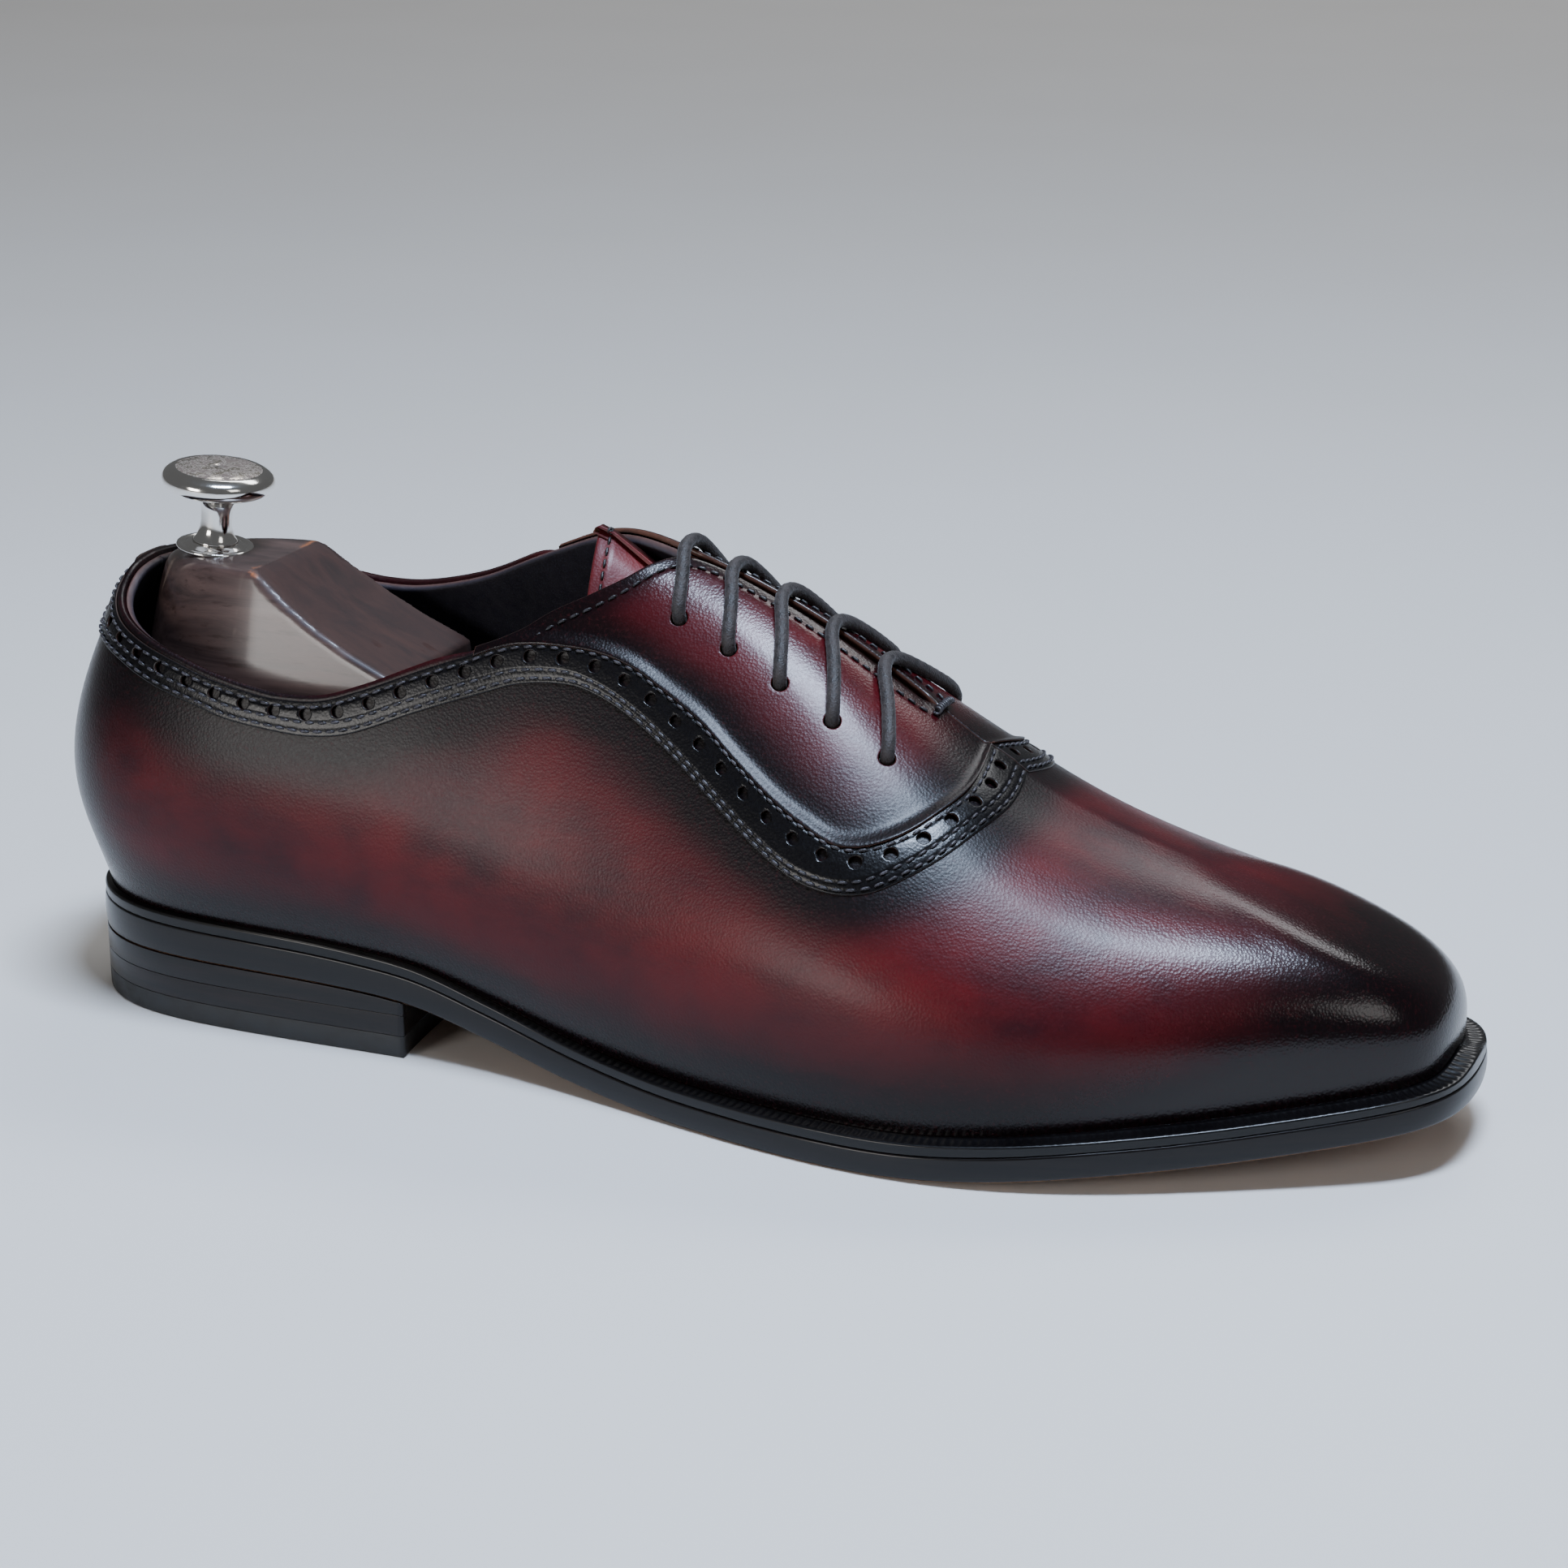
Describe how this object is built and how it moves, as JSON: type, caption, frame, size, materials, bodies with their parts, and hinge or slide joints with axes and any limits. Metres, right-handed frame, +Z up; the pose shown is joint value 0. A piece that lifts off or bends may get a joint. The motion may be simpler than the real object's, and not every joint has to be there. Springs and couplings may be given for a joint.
{
  "type": "oxford shoe",
  "caption": "Right leather oxford with a punched strip along its topline and facing, stacked heel, closed lacing, and a hinged wooden shoe tree with a metal knob inside.",
  "frame": {"origin": "centre of the bounding box in plan, on the plane that the heel stands on", "axes": "+X from heel to toe (the longest extent), +Y to the medial side, +Z up"},
  "size_m": [0.3069, 0.1092, 0.1148],
  "materials": {
    "calf_burgundy": "hand-coloured burgundy calf with a satin wax shine",
    "calf_black": "black calf",
    "welt_black": "black waxed edge",
    "lining_navy": "dark navy lining leather",
    "stiffener": "stiffened natural leather board",
    "insole_leather": "natural vegetable-tanned leather",
    "cork": "cork granulate",
    "shank_steel": "spring steel",
    "sole_leather": "dark stained edge, bark-tanned leather",
    "heel_rubber": "moulded rubber",
    "nail_brass": "plain brass",
    "lace_cotton": "waxed round cotton lace",
    "thread": "waxed thread",
    "tree_wood_red": "reddish brown stained wood",
    "tree_wood_dark": "dark varnished and worn wood",
    "hinge_steel": "plain steel",
    "knob_chrome": "chrome with worn top"
  },
  "bodies": {
    "shoe": {"upper_body": "calf_burgundy", "facing_lateral": "calf_burgundy", "facing_medial": "calf_burgundy", "brogue_strip_lateral": "calf_black", "brogue_strip_medial": "calf_black", "backstay": "calf_black", "tongue": "calf_burgundy", "quarter_lining_lateral": "lining_navy", "quarter_lining_medial": "lining_navy", "vamp_lining": "lining_navy", "heel_counter": "stiffener", "toe_puff": "stiffener", "eyelet_stay_lateral": "stiffener", "eyelet_stay_medial": "stiffener", "insole": "insole_leather", "sock_lining": "lining_navy", "cork_filler": "cork", "heel_seat_filler": "insole_leather", "shank": "shank_steel", "welt": "welt_black", "outsole": "sole_leather", "heel_lift_upper": "sole_leather", "heel_lift_lower": "sole_leather", "top_lift": "heel_rubber", "heel_nails": "nail_brass", "lace": "lace_cotton", "bar_tack": "thread", "tree_forepart": "tree_wood_red", "tree_hinge_leaf_lateral": "hinge_steel", "tree_hinge_leaf_medial": "hinge_steel", "tree_hinge_pin": "hinge_steel"},
    "tree_heel": {"tree_heel_block": "tree_wood_dark", "tree_hinge_plate_rear": "hinge_steel", "tree_knob": "knob_chrome", "tree_knob_collar": "knob_chrome", "tree_knob_stud": "hinge_steel"}
  },
  "joints": [
    {"name": "tree_heel_hinge", "type": "hinge", "parent": "shoe", "child": "tree_heel", "pos_m": [-0.06315, -0.00065, 0.038], "axis": [0, 1, 0], "range_deg": [0, 15]}
  ]
}
